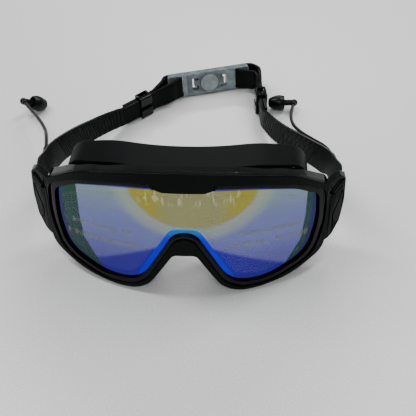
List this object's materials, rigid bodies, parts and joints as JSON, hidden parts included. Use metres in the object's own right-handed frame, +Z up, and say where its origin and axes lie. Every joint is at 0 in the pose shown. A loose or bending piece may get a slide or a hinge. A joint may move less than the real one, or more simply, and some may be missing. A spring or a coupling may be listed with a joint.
{
  "type": "large-frame swimming goggles",
  "caption": "Wide one-piece mirrored swimming goggles with a soft face skirt, clasped silicone head strap, strap keepers and tethered ear plugs, resting on their frame.",
  "frame": {"origin": "on the standing surface, below the middle of the object along Y and on the eyewear's plane of symmetry", "axes": "+Z up, the lens facing -Y and leaning back, +X to the viewer's right; strap and ear plugs lie towards +Y"},
  "size_m": [0.2197, 0.1986, 0.0826],
  "materials": {
    "satin_black": "satin moulded",
    "inlay_satin": "satin moulded",
    "gloss_black": "polished",
    "mirror_lens": "mirrored, violet to gold",
    "film": "clear printed film",
    "foam_black": "matte",
    "matte_black": "matte",
    "silicone_charcoal": "matte silicone",
    "silicone_black": "satin silicone",
    "keeper_black": "polished",
    "smoke_clear": "clear smoky plastic",
    "smoke_frosted": "frosted",
    "plug_black": "satin silicone"
  },
  "bodies": {
    "goggles": {"front_cover": "satin_black", "side_inlay_right": "inlay_satin", "side_inlay_left": "inlay_satin", "lens_frame": "gloss_black", "lens": "mirror_lens", "lens_film": "film", "lens_gasket": "foam_black", "retainer_ring": "matte_black", "skirt": "silicone_charcoal", "strap_left": "silicone_black", "strap_right": "silicone_black", "buckle_socket": "smoke_clear", "buckle_tongue": "smoke_clear", "earplug_left": "plug_black", "earplug_right": "plug_black", "tether_left": "plug_black", "tether_right": "plug_black"},
    "button": {"release_button": "smoke_frosted"},
    "left_keeper": {"keeper_left": "keeper_black"},
    "right_keeper": {"keeper_right": "keeper_black"}
  },
  "joints": [
    {"name": "button_press", "type": "slide", "parent": "goggles", "child": "button", "axis": [-0.2532, 0.9448, -0.2079], "range_m": [0, 0.0013], "stiffness_N_per_m": 600},
    {"name": "left_keeper_slide", "type": "slide", "parent": "goggles", "child": "left_keeper", "axis": [0.7507, 0.6606, 0], "range_m": [-0.004, 0.004]},
    {"name": "right_keeper_slide", "type": "slide", "parent": "goggles", "child": "right_keeper", "axis": [-0.14, 0.9901, 0], "range_m": [-0.004, 0.004]}
  ]
}
